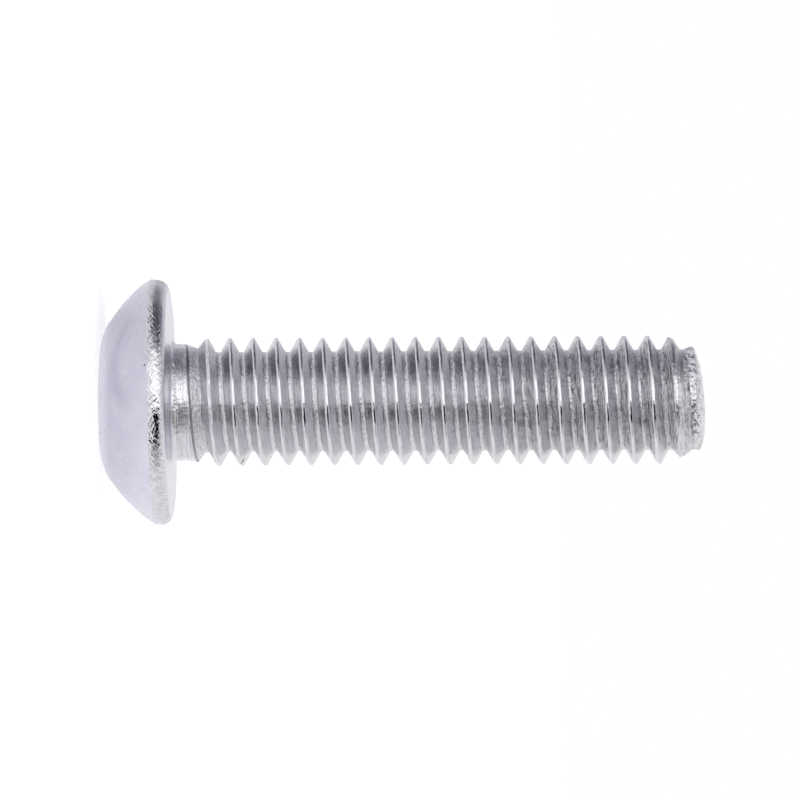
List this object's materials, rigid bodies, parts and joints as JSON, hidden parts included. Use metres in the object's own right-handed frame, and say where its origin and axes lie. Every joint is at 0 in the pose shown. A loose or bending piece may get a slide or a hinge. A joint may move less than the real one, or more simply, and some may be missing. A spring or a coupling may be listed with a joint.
{
  "type": "button head screw",
  "caption": "Button head screw with a low domed head, a hexagon socket and a fully threaded metric shank.",
  "frame": {"origin": "centre of the flat land on top of the domed head, which the screw stands on", "axes": "+Z along the screw's axis from the head towards the threaded tip; X and Y are square to it, with two of the socket's flats facing +Y and -Y"},
  "size_m": [0.0074, 0.0074, 0.0182],
  "materials": {
    "bright_steel": "bright plated, glossy on the dome, rolled and slightly rough on the thread"
  },
  "bodies": {
    "root": {"button_head_screw": "bright_steel"}
  },
  "joints": []
}
